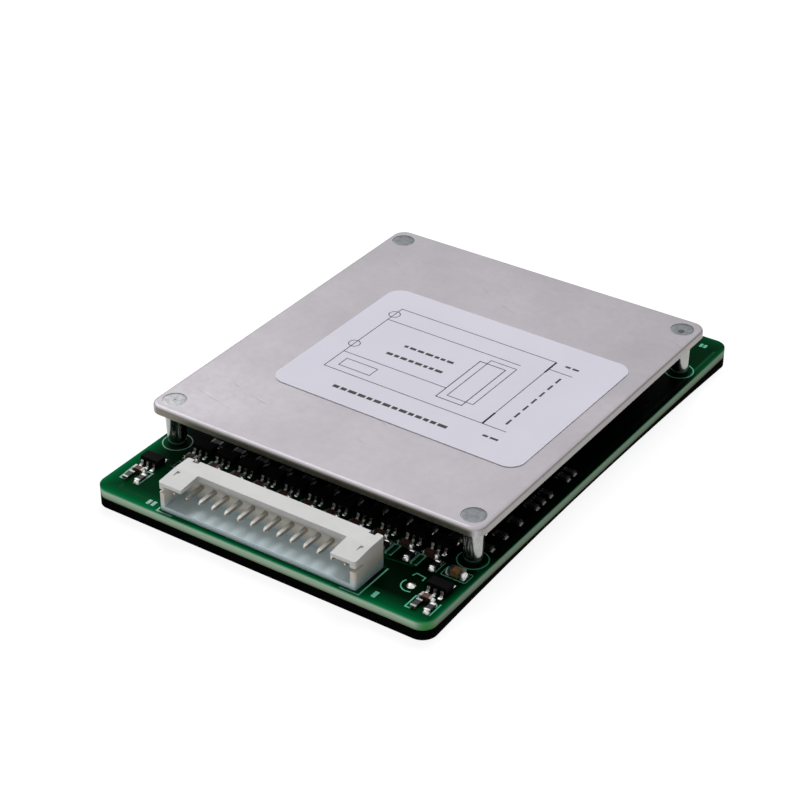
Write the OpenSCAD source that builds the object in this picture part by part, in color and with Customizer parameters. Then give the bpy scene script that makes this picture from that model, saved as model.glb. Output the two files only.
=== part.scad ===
// Battery management board: a circuit board on a black insulating pad, with a
// side-entry cell-sense header at the front, a row of cell-balancing chips, and
// six power transistors under an aluminium heatsink plate that stands on four
// rivets. Millimetres. The origin is at the middle of the pad's underside: +X
// runs along the header's edge, +Y from the header to the back, +Z up.

/* [Circuit board] */
// Width of the board, along the header's edge
board_w = 51; // [50.5:0.5:58]
// Depth of the board, from the header's edge to the back
board_d = 76.5; // [76:0.5:90]
// Thickness of the board
board_t = 1.3; // [0.8:0.1:2]
// Radius of the board's corners
board_r = 2; // [1:0.1:4]

/* [Insulating pad] */
// Thickness of the pad under the board
pad_t = 1.45; // [1.3:0.05:3]
// How far the pad's long sides draw in at the middle
pad_bow = 0.7; // [0.3:0.1:1.5]
// Clearance round what reaches down into the pad
pad_clear = 0.5; // [0.2:0.1:0.8]

/* [Heatsink plate] */
// Gap from the board's long edge to the plate's edge
plate_side_gap = 0.1; // [0:0.05:1]
// Gap from the board's front edge to the plate's front edge
plate_front_gap = 11.15; // [10.8:0.05:12]
// Gap from the board's back edge to the plate's back edge
plate_back_gap = 7.35; // [7.2:0.05:9]
// Thickness of the plate
plate_t = 1.2; // [1:0.1:2]
// Radius of the plate's corners, seen from above
plate_r = 1.9; // [1.5:0.1:4]
// Radius of the plate's rolled top edge
plate_edge_r = 0.5; // [0.2:0.05:0.8]

/* [Heatsink rivets] */
// Distance from the plate's long edge to a rivet's centre
rivet_inset_x = 2.45; // [2.2:0.05:3.2]
// Distance from the plate's front edge to a rivet's centre
rivet_inset_front = 2.6; // [2.4:0.05:2.9]
// Distance from the plate's back edge to a rivet's centre
rivet_inset_back = 2.9; // [2.4:0.05:3.2]
// Diameter of the flush head
rivet_head_d = 3.2; // [2.9:0.1:4]
// Thickness of the flush head
rivet_head_t = 0.5; // [0.3:0.05:0.7]
// Depth of the head's face below the plate's top
rivet_sink = 0.05; // [0.02:0.01:0.15]
// Diameter of the shank at the plate
rivet_top_d = 2.8; // [2.3:0.1:2.9]
// Diameter of the shank at the board
rivet_foot_d = 2.5; // [2:0.1:2.7]
// Radius of the flare where the shank meets the plate
rivet_flare_r = 0.45; // [0.2:0.05:0.8]
// Diameter of the tenon that passes through the board
rivet_tenon_d = 1.4; // [1:0.1:1.7]
// Diameter of the button that is formed under the board
rivet_button_d = 2.6; // [2.2:0.1:3]
// Thickness of that button
rivet_button_t = 0.6; // [0.4:0.05:0.9]

/* [Label] */
// Width of the label
label_w = 38.4; // [20:0.2:42]
// Depth of the label
label_d = 29.2; // [15:0.2:45]
// Thickness of the label
label_t = 0.1; // [0.05:0.05:0.3]
// Radius of the label's corners
label_r = 2.2; // [0.5:0.1:4]
// How far the label sits right of the plate's middle
label_right = 3.2; // [-4:0.1:4]
// How far the label sits in front of the plate's middle
label_front = 0.95; // [-4:0.05:4]
// Turn of the label, stuck on by hand
label_turn = -0.7; // [-3:0.1:3]

/* [Sense header] */
// Number of pins
pin_count = 14; // [4:1:15]
// Pin pitch
header_pitch = 2; // [1.8:0.05:2.1]
// Distance from the last pin to the housing's end
header_end = 1.95; // [1.7:0.05:2.3]
// Depth of the housing, front to back
header_d = 6; // [5.6:0.1:7]
// Height of the housing above the board
header_h = 4.5; // [4:0.1:5.5]
// Gap from the board's front edge to the housing's mouth
header_setback = 0.7; // [0.3:0.1:1.5]
// How far the header sits left of the board's middle
header_left = 0.1; // [-1:0.1:1]
// Thickness of the side walls
header_wall = 0.8; // [0.5:0.05:1]
// Thickness of the floor
header_floor = 0.75; // [0.5:0.05:1]
// Thickness of the roof bar and the two ears
header_roof = 0.8; // [0.6:0.05:1]
// Width of each ear, from the housing's end
header_ear = 3.6; // [2.8:0.1:4.4]
// Fall of the ears' tops from the roof bar to the mouth
header_fall = 0.3; // [0.1:0.05:0.4]
// Distance from the mouth to the roof bar
header_bar_y = 3.4; // [2.8:0.1:3.6]
// How far the cavity reaches in under the roof bar
header_lip = 0.3; // [0.2:0.05:0.4]
// Thickness of the wall that holds the pins
header_back_wall = 0.9; // [0.6:0.05:1.2]
// Depth of the slot in each side wall
header_slot_d = 1.7; // [1:0.1:2.4]
// Height of that slot
header_slot_h = 0.55; // [0.3:0.05:0.8]
// Height of that slot's middle above the board
header_slot_z = 2.95; // [2.4:0.05:3.2]
// Width of the key slot in each ear
header_key_w = 0.45; // [0.3:0.05:0.6]
// Length of the key slot in each ear
header_key_d = 1; // [0.6:0.1:1.4]
// Depth of that slot below the roof bar
header_key_t = 0.25; // [0.1:0.05:0.5]
// Distance from the housing's end to the key slot
header_key_in = 1; // [0.8:0.05:1.2]
// Width of the nick at each end of the roof bar
header_nick_w = 0.9; // [0.5:0.1:1.2]
// Depth of that nick
header_nick_d = 0.55; // [0.3:0.05:0.7]
// Distance from the housing's end to that nick
header_nick_in = 1; // [0.8:0.05:1.6]
// Radius of the housing's upright corners
header_corner_r = 0.3; // [0.1:0.05:0.5]
// Side of the square pins
pin_w = 0.5; // [0.4:0.05:0.64]
// Height of the pins' axis above the board
pin_z = 2.8; // [2.4:0.05:3]
// Distance from the mouth to the pins' tips
pin_tip_y = 0.6; // [0.4:0.1:1.2]
// Length of the pins' tails below the board
pin_tail = 0.9; // [0.5:0.1:1.2]

/* [Cell-balancing row] */
// Pitch of the row, which holds as many chips as fit between the rivets
row_pitch = 3.71; // [3.6:0.01:3.8]
// Least gap from the row's end chips to a rivet
row_end_gap = 0.3; // [0.2:0.05:0.6]
// Distance from the board's front edge to the row's centre line
row_y = 14.1; // [13.9:0.05:14.6]
// Distance of the left corner chip from the board's left edge
left_chip_x = 3.05; // [2.6:0.05:3.3]
// Distance of the left corner chip from the board's front edge
left_chip_y = 8.2; // [7:0.05:8.6]
// Distance of the right corner chip from the board's right edge
right_chip_x = 2.6; // [2.4:0.05:3]
// Distance of the right corner chip from the board's front edge
right_chip_y = 6.6; // [6:0.05:7.2]
// How far a chip's filter capacitor sits left of the chip's middle
filter_x = 0.2; // [0:0.02:0.3]
// Distance from the chip's leads to that capacitor's middle
filter_y = 1.15; // [1:0.05:1.2]
// How far a row chip's resistor sits right of the chip's middle
right_part_x = 1.38; // [1.2:0.02:1.5]
// Distance from the chip's leads to that resistor's middle
right_part_y = 2.6; // [2.4:0.05:2.8]
// How far a corner chip's first resistor sits right of the chip's middle
corner_part_x = 1.12; // [1.1:0.02:1.3]
// Distance from the chip's leads to that resistor's middle
corner_part_y = 2.4; // [2.3:0.05:2.5]
// How far a corner chip's second resistor sits left of the chip's middle
left_part_x = 0.65; // [0.5:0.05:0.8]
// Distance from the chip's leads to that resistor's middle
left_part_y = 2.65; // [2.5:0.05:2.9]
// How far the resistor behind a row chip sits right of the chip's middle
gate_x = 0.3; // [0:0.05:0.5]
// Distance from the chip's leads to that resistor's middle
gate_y = 0.75; // [0.6:0.05:1]

/* [Small chip packages] */
// Length of a six-lead chip's body
chip_l = 2.9; // [2.6:0.05:3.1]
// Width of a six-lead chip's body
chip_w = 1.6; // [1.4:0.05:1.8]
// Height of a chip above the board
chip_h = 1.1; // [0.8:0.05:1.4]
// Span over a six-lead chip's leads
chip_span = 2.8; // [2.6:0.05:3]
// Lead pitch
chip_pitch = 0.95; // [0.8:0.05:1]
// Lead width
lead_w = 0.4; // [0.25:0.05:0.5]
// Lead thickness
lead_t = 0.15; // [0.1:0.05:0.2]
// Length of a lead's foot
lead_foot = 0.35; // [0.25:0.05:0.45]
// Gap between a chip's body and the board
chip_standoff = 0.1; // [0.05:0.05:0.2]

/* [Balancing transistors and bleed resistors] */
// Gap from the end transistors to the column along the right edge
cell_side_gap = 0.45; // [0.3:0.05:0.6]
// Width of a three-lead transistor's body
fet_w = 1.3; // [1.1:0.05:1.5]
// Span over a three-lead transistor's leads
fet_span = 2.4; // [2.2:0.05:2.6]

/* [Resistors and capacitors] */
// Length of the small resistors
small_l = 1.6; // [1.4:0.05:1.7]
// Width of the small resistors
small_w = 0.8; // [0.7:0.05:0.9]
// Height of the small resistors
small_h = 0.45; // [0.35:0.05:0.6]
// Height of the filter capacitors
filter_h = 0.7; // [0.5:0.05:0.9]
// Length of a bleed resistor
bleed_l = 3.2; // [2.8:0.1:3.3]
// Width of a bleed resistor
bleed_w = 1.6; // [1.2:0.1:1.8]
// Height of a bleed resistor
bleed_h = 0.55; // [0.4:0.05:0.7]
// Length of the supply capacitor
supply_l = 2; // [1.8:0.05:2.2]
// Width of the supply capacitor
supply_w = 1.25; // [1:0.05:1.4]
// Height of the supply capacitor
supply_h = 0.85; // [0.6:0.05:1.2]
// Length of the plated end on a small part
small_end = 0.3; // [0.2:0.05:0.4]
// Length of the plated end on a large resistor
large_end = 0.5; // [0.3:0.05:0.7]
// Distance of the right-hand column from the board's right edge
side_x = 2.4; // [2.2:0.05:2.45]
// Unit that the places along that column are counted in
side_pitch = 1.6; // [1.4:0.05:1.7]
// Distance of the supply capacitor from the board's right edge
supply_x = 2.5; // [2:0.05:3]
// Distance of the supply capacitor from the board's front edge
supply_y = 10.1; // [9.8:0.05:10.6]

/* [Protection chips] */
// Number of cascaded protection chips
guard_chips = 3; // [1:1:3]
// Pitch between protection chips
guard_gap = 12; // [9:0.5:14]
// Leads on each side of a protection chip
guard_leads = 8; // [4:1:8]
// Lead pitch of a protection chip
guard_pitch = 0.65; // [0.5:0.05:0.65]
// Width of a protection chip's body
guard_w = 4.4; // [3.9:0.1:4.6]
// Span over a protection chip's leads
guard_span = 6.4; // [6.2:0.05:6.6]

/* [Power transistors] */
// Width of a power transistor's body
mos_w = 10.2; // [9.6:0.1:10.6]
// Depth of a power transistor's body
mos_d = 9; // [8.6:0.1:9.4]
// Height of a power transistor
mos_h = 4.5; // [4.2:0.05:4.8]
// Thickness of the metal tab
mos_tab_t = 1.3; // [1:0.05:1.5]
// Width of the metal tab
mos_tab_w = 8.4; // [7.6:0.1:9]
// Distance from the body's lead side to the tab, underneath
mos_tab_y = 1.8; // [1:0.1:3]
// How far the tab sticks out of the body
mos_tab_out = 1.3; // [1:0.1:1.6]
// Reach of the leads in front of the body
mos_reach = 4.6; // [4.2:0.1:5]
// Lead pitch
mos_lead_pitch = 2.54; // [2.3:0.02:2.8]
// Lead width
mos_lead_w = 0.8; // [0.6:0.05:1]
// Lead thickness
mos_lead_t = 0.5; // [0.4:0.05:0.6]
// Length of a power transistor's lead foot
mos_foot = 2; // [1.6:0.1:2.4]
// Gap between the two rows of tabs
mos_row_gap = 0.6; // [0.3:0.1:1]
// Thickness of the soft pad between transistors and plate
thermal_t = 0.9; // [0.6:0.05:1.2]
// How far the soft pad reaches past the transistors' bodies
thermal_over = 0.6; // [0.2:0.1:1.4]
// Radius of the soft pad's corners
thermal_r = 1; // [0.5:0.1:2]

/* [Power end] */
// Length of a current-sense resistor
shunt_l = 6.35; // [6:0.05:6.8]
// Width of a current-sense resistor
shunt_w = 2.4; // [2:0.1:2.6]
// Height of a current-sense resistor
shunt_h = 0.6; // [0.4:0.05:0.8]
// Gap from a current-sense resistor to the power leads beside it
shunt_gap = 0.5; // [0.3:0.05:0.7]
// Width of each pad for a pack lead
tin_w = 15; // [10:0.5:18]
// Depth of each pad for a pack lead
tin_d = 4.6; // [3.8:0.1:5]
// Radius of those pads' corners
tin_r = 0.8; // [0.4:0.1:1.5]
// Thickness of the tinned pads
tin_t = 0.12; // [0.05:0.01:0.2]
// Distance from the board's back edge to the pads' centre line
tin_back = 3.7; // [3.4:0.1:4]
// Distance from the board's middle to a pad's middle
tin_side = 12; // [10:0.5:12.5]
// Holes in each pad
lead_holes = 2; // [1:1:2]
// Pitch of those holes
lead_pitch = 6.4; // [5:0.1:7]
// Radius of those holes
lead_r = 1.5; // [1:0.05:1.7]

/* [Hidden] */
$fn = 32;
eps = 0.01;             // what a cut reaches past a face
pin_fit = 0.02;         // clearance of a pin in its hole
rivet_fit = 0.02;       // clearance of a rivet in its hole
hole_fit = 0.1;         // radial clearance of a board hole
draft = 0.06;           // lean of a moulded chip's sides
flare_from = 100;       // angle where a rivet's flare leaves the plate
button_taper = 0.2;     // lean of the side of a rivet's button
colour_green = [0.02, 0.36, 0.18];
colour_black = [0.04, 0.04, 0.045];
colour_tin = [0.78, 0.78, 0.76];
colour_nylon = [0.9, 0.9, 0.88];
colour_alloy = [0.72, 0.72, 0.73];
colour_brown = [0.42, 0.27, 0.16];

// Levels
board_top = pad_t + board_t;
plate_under = board_top + mos_h + thermal_t;
plate_top = plate_under + plate_t;

// Heatsink plate
plate_w = board_w - 2 * plate_side_gap;
plate_d = board_d - plate_front_gap - plate_back_gap;
plate_y = (plate_front_gap - plate_back_gap) / 2;
rivet_x = plate_w / 2 - rivet_inset_x;
rivet_front_y = plate_y - plate_d / 2 + rivet_inset_front;
rivet_back_y = plate_y + plate_d / 2 - rivet_inset_back;
rivet_places = [for (s = [-1, 1], y = [rivet_front_y, rivet_back_y]) [s * rivet_x, y]];

// Sense header, from its mouth
header_w = (pin_count - 1) * header_pitch + 2 * header_end;
header_at = [-header_left, header_setback - board_d / 2];
header_cave_d = header_bar_y + header_lip;
header_cave_h = header_h - header_roof - header_floor;
header_pocket_y = header_cave_d + header_back_wall;
pin_down_y = (header_pocket_y + header_d) / 2;
pin_xs = [for (i = [0:pin_count - 1]) (i - (pin_count - 1) / 2) * header_pitch];
pin_hole_r = pin_w / sqrt(2) + hole_fit;

// Balancing chips: the row, then the two corner chips
front = -board_d / 2;
back = board_d / 2;
row_room = 2 * rivet_x - rivet_top_d - 2 * row_end_gap - chip_l;
row_chips = floor(row_room / row_pitch) + 1;
row_places = [for (i = [0:row_chips - 1]) [(i - (row_chips - 1) / 2) * row_pitch, front + row_y]];
corner_places = [
    [left_chip_x - board_w / 2, front + left_chip_y],
    [board_w / 2 - right_chip_x, front + right_chip_y]
];
chip_places = concat(row_places, corner_places);

// Parts round each balancing chip, from the chip's centre
chip_reach = chip_span / 2;
filter_at = [-filter_x, -chip_reach - filter_y];
row_resistor_at = [right_part_x, -chip_reach - right_part_y];
corner_resistor_at = [corner_part_x, -chip_reach - corner_part_y];
left_resistor_at = [-left_part_x, -chip_reach - left_part_y];
gate_at = [gate_x, chip_reach + gate_y];

// Parts along the right edge, as places behind the row
side_steps = [1.6, 3.55, 5.7, 8.15, 9.1, 10.2, 12.9, 13.85] * side_pitch;
supply_at = [board_w / 2 - supply_x, front + supply_y];

// Power transistors: one row with its leads forward, one with its leads back
mos_row = 3;
mos_count = 2 * mos_row;
mos_pitch = shunt_l + 2 * shunt_gap + 2 * mos_lead_pitch + mos_lead_w;
mos_depth = mos_d + mos_tab_out;
mos_block = 2 * (mos_reach + mos_depth) + mos_row_gap;

// Behind the row: balancing transistors, their bleed resistors, protection chips, power
// transistors and lead pads, with what room the board leaves shared between them
row_end = front + row_y + gate_at[1] + small_w / 2;
tin_start = back - tin_back - tin_d / 2;
band_gap = (tin_start - row_end - fet_span - bleed_l - guard_span - mos_block) / 5;
fet_y = row_end + band_gap + fet_span / 2;
bleed_y = fet_y + fet_span / 2 + band_gap + bleed_l / 2;
guard_y = bleed_y + bleed_l / 2 + band_gap + guard_span / 2;
mos_y = guard_y + guard_span / 2 + band_gap + mos_block / 2;

// One balancing transistor and one bleed resistor for each chip
cells = len(chip_places);
cell_room = board_w - 2 * (side_x + small_l / 2 + cell_side_gap) - chip_l;
cell_xs = [for (i = [0:cells - 1]) (i / (cells - 1) - 1 / 2) * cell_room];
guard_l = (guard_leads - 1) * guard_pitch + lead_w;
guard_xs = [for (i = [0:guard_chips - 1]) (i - (guard_chips - 1) / 2) * guard_gap];

// Current-sense resistors between the leads of the back row
shunt_xs = [for (i = [1:mos_row - 1]) (i - mos_row / 2) * mos_pitch];
shunt_y = mos_y + (mos_block - mos_reach) / 2;
tin_xs = [-tin_side, tin_side];
lead_xs = [for (x = tin_xs, i = [0:lead_holes - 1]) x + (i - (lead_holes - 1) / 2) * lead_pitch];

function arc(x, y, r, from, to, steps = 8) =
    [for (i = [0:steps]) let (a = from + (to - from) * i / steps) [x + r * cos(a), y + r * sin(a)]];

// A rectangle with round corners, centred
module round_rect(w, d, r) {
    square([w - 2 * r, d], center = true);
    square([w, d - 2 * r], center = true);
    for (sx = [-1, 1], sy = [-1, 1])
        translate([sx * (w / 2 - r), sy * (d / 2 - r)]) circle(r);
}

// Repeats its children at each place on the board's face
module on_board(places) {
    for (p = places) translate([p[0], p[1], board_top]) children();
}

// A moulded body of length l along X, width w and height h, widest at its parting line
module moulded(l, w, h, lift) {
    mid = lift + (h - lift) * 0.45;
    intersection() {
        rotate([90, 0, 0]) linear_extrude(w, center = true)
            polygon(moulded_side(l, h, lift, mid));
        rotate([90, 0, 90]) linear_extrude(l, center = true)
            polygon(moulded_side(w, h, lift, mid));
    }
}
function moulded_side(w, h, lift, mid) = [
    [-w / 2 + draft, lift], [w / 2 - draft, lift], [w / 2, mid],
    [w / 2 - draft, h], [-w / 2 + draft, h], [-w / 2, mid]
];

// One gull-wing lead that leaves a body at +Y and stands on the board
module gull(body, reach, width, thick, foot, rise) {
    heel = reach - foot;
    knee = body + (heel - body) * 0.4;
    rotate([90, 0, 90]) linear_extrude(width, center = true) polygon([
        [body, rise], [knee, rise], [heel, 0], [reach, 0],
        [reach, thick], [heel + thick * 0.6, thick], [knee + thick * 0.6, rise + thick],
        [body, rise + thick]
    ]);
}

// A row of gull-wing leads at the given places along X, on the side given by its sign
module gull_row(xs, side, body, reach, width, thick, foot, rise) {
    for (x = xs) translate([x, 0, 0]) rotate([0, 0, side > 0 ? 0 : 180])
        gull(body, reach, width, thick, foot, rise);
}

// The body of a resistor or capacitor that lies along X
module block_body(l, w, h, end) {
    skin = 0.02;
    translate([-l / 2 + end, -w / 2 + skin, skin]) cube([l - 2 * end, w - 2 * skin, h - 2 * skin]);
}

// Its two plated ends
module block_ends(l, w, h, end) {
    for (s = [0, 1]) translate([s * (l - end) - l / 2, -w / 2, 0]) cube([end, w, h]);
}

module board_outline() {
    round_rect(board_w, board_d, board_r);
}

// The black pad, drawn in along its long sides, open round what reaches below the board
module insulating_pad() {
    chord = board_d - 2 * board_r;
    bend_r = (chord * chord / 4 + pad_bow * pad_bow) / (2 * pad_bow);
    color(colour_black) difference() {
        linear_extrude(pad_t) board_outline();
        for (s = [-1, 1]) translate([s * (board_w / 2 - pad_bow + bend_r), 0, -eps])
            cylinder(h = pad_t + 2 * eps, r = bend_r, $fn = 3600);
        for (p = rivet_places) translate([p[0], p[1], -eps])
            cylinder(h = pad_t + 2 * eps, d = rivet_button_d + 2 * pad_clear);
        pad_window(header_at[0], header_at[1] + pin_down_y,
            header_w - 2 * header_end + pin_w, pin_w);
        for (x = tin_xs)
            pad_window(x, back - tin_back, (lead_holes - 1) * lead_pitch + 2 * lead_r, 2 * lead_r);
    }
}
module pad_window(x, y, w, d) {
    translate([x, y, -eps]) linear_extrude(pad_t + 2 * eps)
        round_rect(w + 2 * pad_clear, d + 2 * pad_clear, pad_clear);
}

module circuit_board() {
    color(colour_green) translate([0, 0, pad_t]) difference() {
        linear_extrude(board_t) board_outline();
        for (p = rivet_places) board_hole(p[0], p[1], rivet_tenon_d / 2 + hole_fit);
        for (x = pin_xs) board_hole(header_at[0] + x, header_at[1] + pin_down_y, pin_hole_r);
        for (x = lead_xs) board_hole(x, back - tin_back, lead_r);
    }
}
module board_hole(x, y, r) {
    translate([x, y, -eps]) cylinder(h = board_t + 2 * eps, r = r);
}

// The plate: flat, with a rolled top edge and a counterbored hole for each rivet
module heatsink_plate() {
    flat = plate_t - plate_edge_r;
    color(colour_alloy) translate([0, plate_y, plate_under]) difference() {
        union() {
            linear_extrude(flat) round_rect(plate_w, plate_d, plate_r);
            linear_extrude(plate_t)
                round_rect(plate_w - 2 * plate_edge_r, plate_d - 2 * plate_edge_r,
                    plate_r - plate_edge_r);
            for (s = [-1, 1]) {
                translate([s * (plate_w / 2 - plate_edge_r), 0, flat]) rotate([90, 0, 0])
                    cylinder(h = plate_d - 2 * plate_r, r = plate_edge_r, center = true);
                translate([0, s * (plate_d / 2 - plate_edge_r), flat]) rotate([0, 90, 0])
                    cylinder(h = plate_w - 2 * plate_r, r = plate_edge_r, center = true);
            }
            for (sx = [-1, 1], sy = [-1, 1])
                translate([sx * (plate_w / 2 - plate_r), sy * (plate_d / 2 - plate_r), 0])
                    rolled_corner(flat);
        }
        for (p = rivet_places) translate([p[0], p[1] - plate_y, 0]) {
            translate([0, 0, -eps])
                cylinder(h = plate_t + 2 * eps, d = rivet_top_d + 2 * rivet_fit);
            translate([0, 0, plate_t - rivet_head_t - rivet_sink])
                cylinder(h = plate_t, d = rivet_head_d + 2 * rivet_fit);
        }
    }
}
module rolled_corner(flat) {
    rotate_extrude() {
        square([plate_r, flat]);
        square([plate_r - plate_edge_r, plate_t]);
        translate([plate_r - plate_edge_r, flat]) circle(plate_edge_r);
    }
}

// Each rivet: a flush head, a flared and tapered shank that stands on the board, a
// tenon through the board, and the button formed below it
module heatsink_rivets() {
    head = plate_top - rivet_sink;
    seat = head - rivet_head_t;
    rt = rivet_top_d / 2;
    color([0.55, 0.55, 0.56]) for (p = rivet_places) translate([p[0], p[1], 0])
        rotate_extrude() polygon(concat(
            [[0, head], [rivet_head_d / 2, head], [rivet_head_d / 2, seat], [rt, seat],
             [rt, plate_under], [rt + rivet_flare_r, plate_under]],
            arc(rt + rivet_flare_r, plate_under - rivet_flare_r, rivet_flare_r, flare_from, 180, 5),
            [[rivet_foot_d / 2, board_top], [rivet_tenon_d / 2, board_top],
             [rivet_tenon_d / 2, pad_t], [rivet_button_d / 2, pad_t],
             [rivet_button_d / 2 - button_taper, pad_t - rivet_button_t],
             [0, pad_t - rivet_button_t]]
        ));
}

module label() {
    color([0.86, 0.85, 0.88]) translate([label_right, plate_y - label_front, plate_top])
        rotate([0, 0, label_turn]) linear_extrude(label_t) round_rect(label_w, label_d, label_r);
}

module thermal_pad() {
    w = (mos_row - 1) * mos_pitch + mos_w + 2 * thermal_over;
    d = mos_row_gap + 2 * mos_depth + 2 * thermal_over;
    color([0.55, 0.62, 0.7]) translate([0, mos_y, board_top + mos_h])
        linear_extrude(thermal_t) round_rect(w, d, thermal_r);
}

// The header's nylon housing, from its mouth: a floor, two side walls with slots, a
// roof that is open between two ears, the wall that holds the pins, and a pocket
// behind that wall where the pins turn down
module header_housing() {
    ear_x = header_w / 2 - header_ear;
    cave_w = header_w - 2 * header_wall;
    color(colour_nylon) translate([header_at[0], header_at[1], board_top]) difference() {
        translate([0, header_d / 2, 0]) linear_extrude(header_h)
            round_rect(header_w, header_d, header_corner_r);
        rotate([90, 0, 90]) linear_extrude(header_w + 2 * eps, center = true) polygon([
            [-eps, header_h - header_fall], [header_bar_y, header_h],
            [header_bar_y, header_h + eps], [-eps, header_h + eps]
        ]);
        translate([-cave_w / 2, -eps, header_floor])
            cube([cave_w, header_cave_d + eps, header_cave_h]);
        translate([-ear_x, -eps, header_floor])
            cube([2 * ear_x, header_bar_y + eps, header_h]);
        translate([-cave_w / 2, header_pocket_y, -eps])
            cube([cave_w, header_d, header_h - header_roof + eps]);
        for (x = pin_xs) translate([x, header_cave_d + header_back_wall / 2, pin_z])
            cube([pin_w + 2 * pin_fit, header_back_wall + 2 * eps, pin_w + 2 * pin_fit],
                center = true);
        for (s = [-1, 1]) {
            translate([s * header_w / 2, 0, header_slot_z])
                cube([4 * header_wall, 2 * header_slot_d, header_slot_h], center = true);
            translate([s * (header_w / 2 - header_key_in), header_bar_y - header_key_d, header_h])
                cube([header_key_w, header_key_d, 2 * header_key_t], center = true);
            translate([s * (header_w / 2 - header_nick_in - header_nick_w / 2), header_d, header_h])
                cube([header_nick_w, 2 * header_nick_d, 3 * header_roof], center = true);
        }
    }
}

// The pins: pointed at the mouth, through the back wall, and down through the board
module header_pins() {
    low = -board_t - pin_tail;
    half = pin_w / 2;
    color(colour_tin) for (x = pin_xs)
        translate([header_at[0] + x, header_at[1], board_top]) intersection() {
            rotate([90, 0, 90]) linear_extrude(pin_w, center = true) polygon([
                [pin_tip_y, pin_z - half / 2], [pin_tip_y, pin_z + half / 2],
                [pin_tip_y + pin_w, pin_z + half], [pin_down_y, pin_z + half],
                [pin_down_y + half, pin_z], [pin_down_y + half, low + pin_w],
                [pin_down_y + half / 2, low], [pin_down_y - half / 2, low],
                [pin_down_y - half, low + pin_w], [pin_down_y - half, pin_z - half],
                [pin_tip_y + pin_w, pin_z - half]
            ]);
            translate([0, 0, low]) linear_extrude(pin_z + half - low) polygon([
                [-half / 2, pin_tip_y], [half / 2, pin_tip_y], [half, pin_tip_y + pin_w],
                [half, pin_down_y + half], [-half, pin_down_y + half], [-half, pin_tip_y + pin_w]
            ]);
        }
}

module balance_chip_bodies() {
    color(colour_black) on_board(chip_places) moulded(chip_l, chip_w, chip_h, chip_standoff);
}
module balance_chip_leads() {
    xs = [-chip_pitch, 0, chip_pitch];
    color(colour_tin) on_board(chip_places) for (side = [-1, 1])
        gull_row(xs, side, chip_w / 2, chip_span / 2, lead_w, lead_t, lead_foot, chip_h * 0.5);
}

fet_places = [for (x = cell_xs) [x, fet_y]];
module balance_fet_bodies() {
    color(colour_black) on_board(fet_places) moulded(chip_l, fet_w, chip_h, chip_standoff);
}
module balance_fet_leads() {
    color(colour_tin) on_board(fet_places) {
        gull_row([-chip_pitch, chip_pitch], -1, fet_w / 2, fet_span / 2, lead_w, lead_t,
            lead_foot, chip_h * 0.5);
        gull_row([0], 1, fet_w / 2, fet_span / 2, lead_w, lead_t, lead_foot, chip_h * 0.5);
    }
}

bleed_places = [for (x = cell_xs) [x, bleed_y]];
module bleed_resistor_bodies() {
    color([0.1, 0.1, 0.11]) on_board(bleed_places) rotate([0, 0, 90])
        block_body(bleed_l, bleed_w, bleed_h, large_end);
}
module bleed_resistor_ends() {
    color(colour_tin) on_board(bleed_places) rotate([0, 0, 90])
        block_ends(bleed_l, bleed_w, bleed_h, large_end);
}

filter_places = [for (p = chip_places) p + filter_at];
module filter_capacitor_bodies() {
    color(colour_brown) on_board(filter_places) block_body(small_l, small_w, filter_h, small_end);
}
module filter_capacitor_ends() {
    color(colour_tin) on_board(filter_places) block_ends(small_l, small_w, filter_h, small_end);
}

cell_resistor_places = concat(
    [for (p = row_places) p + row_resistor_at],
    [for (p = corner_places) p + corner_resistor_at],
    [for (p = corner_places) p + left_resistor_at]
);
module cell_resistor_bodies() {
    color(colour_black) on_board(cell_resistor_places) rotate([0, 0, 90])
        block_body(small_l, small_w, small_h, small_end);
}
module cell_resistor_ends() {
    color(colour_tin) on_board(cell_resistor_places) rotate([0, 0, 90])
        block_ends(small_l, small_w, small_h, small_end);
}

gate_places = [for (p = row_places) p + gate_at];
module gate_resistor_bodies() {
    color(colour_black) on_board(gate_places) block_body(small_l, small_w, small_h, small_end);
}
module gate_resistor_ends() {
    color(colour_tin) on_board(gate_places) block_ends(small_l, small_w, small_h, small_end);
}

side_places = [for (step = side_steps) [board_w / 2 - side_x, front + row_y + step]];
module side_resistor_bodies() {
    color(colour_black) on_board(side_places) block_body(small_l, small_w, small_h, small_end);
}
module side_resistor_ends() {
    color(colour_tin) on_board(side_places) block_ends(small_l, small_w, small_h, small_end);
}

module supply_capacitor_body() {
    color([0.62, 0.42, 0.2]) on_board([supply_at])
        block_body(supply_l, supply_w, supply_h, large_end);
}
module supply_capacitor_ends() {
    color(colour_tin) on_board([supply_at]) block_ends(supply_l, supply_w, supply_h, large_end);
}

guard_places = [for (x = guard_xs) [x, guard_y]];
module protection_chip_bodies() {
    color(colour_black) on_board(guard_places) moulded(guard_l, guard_w, chip_h, chip_standoff);
}
module protection_chip_leads() {
    xs = [for (i = [0:guard_leads - 1]) (i - (guard_leads - 1) / 2) * guard_pitch];
    color(colour_tin) on_board(guard_places) for (side = [-1, 1])
        gull_row(xs, side, guard_w / 2, guard_span / 2, guard_pitch * 0.4, lead_t,
            lead_foot * 1.5, chip_h * 0.5);
}

shunt_places = [for (x = shunt_xs) [x, shunt_y]];
module shunt_bodies() {
    color([0.2, 0.2, 0.2]) on_board(shunt_places)
        block_body(shunt_l, shunt_w, shunt_h, 2 * large_end);
}
module shunt_ends() {
    color(colour_tin) on_board(shunt_places)
        block_ends(shunt_l, shunt_w, shunt_h, 2 * large_end);
}

// Tinned pads with holes for the two pack leads
module lead_pads() {
    color(colour_tin) translate([0, back - tin_back, board_top]) linear_extrude(tin_t)
        difference() {
            for (x = tin_xs) translate([x, 0]) round_rect(tin_w, tin_d, tin_r);
            for (x = lead_xs) translate([x, 0]) circle(lead_r + hole_fit);
        }
}

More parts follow.
